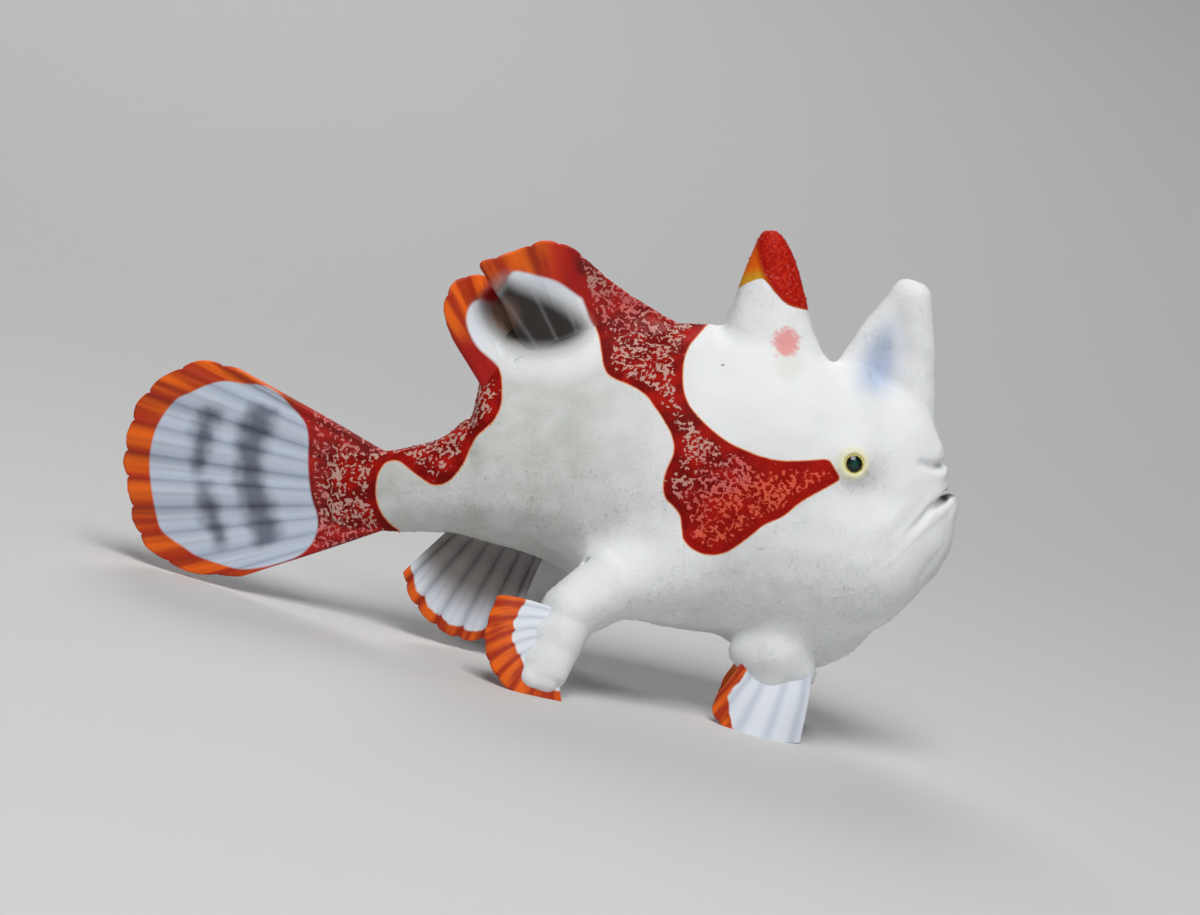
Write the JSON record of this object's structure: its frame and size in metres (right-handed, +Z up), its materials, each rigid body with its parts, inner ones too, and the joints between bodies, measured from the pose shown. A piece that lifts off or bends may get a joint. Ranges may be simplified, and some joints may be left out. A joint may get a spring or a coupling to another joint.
{
  "type": "frogfish",
  "caption": "Young frogfish standing on its hand-like fins, with a horned back, an upright brow spine, an upturned mouth and a fan-shaped tail.",
  "frame": {"origin": "middle of the footprint box, on the floor that the hands and feet stand on", "axes": "+X towards the mouth, +Y to the fish's left, +Z up from the floor"},
  "size_m": [0.042, 0.016, 0.0242],
  "materials": {
    "skin": "velvety, with minute spines",
    "spine_red": "velvety, with minute spines",
    "fin": "thin wet skin over fin rays",
    "lure": "thin skin",
    "eye": "wet and clear"
  },
  "bodies": {
    "root": {"head": "skin", "lower_jaw": "skin", "torso": "skin", "tail_stem": "skin", "arm_left": "skin", "arm_right": "skin", "foot_left": "skin", "foot_right": "skin", "dorsal_spine_2": "skin", "dorsal_spine_3": "spine_red", "hand_left": "fin", "hand_right": "fin", "dorsal_fin": "fin", "anal_fin": "fin", "tail_fin": "fin", "lure": "lure", "eye_left": "eye", "eye_right": "eye"}
  },
  "joints": []
}
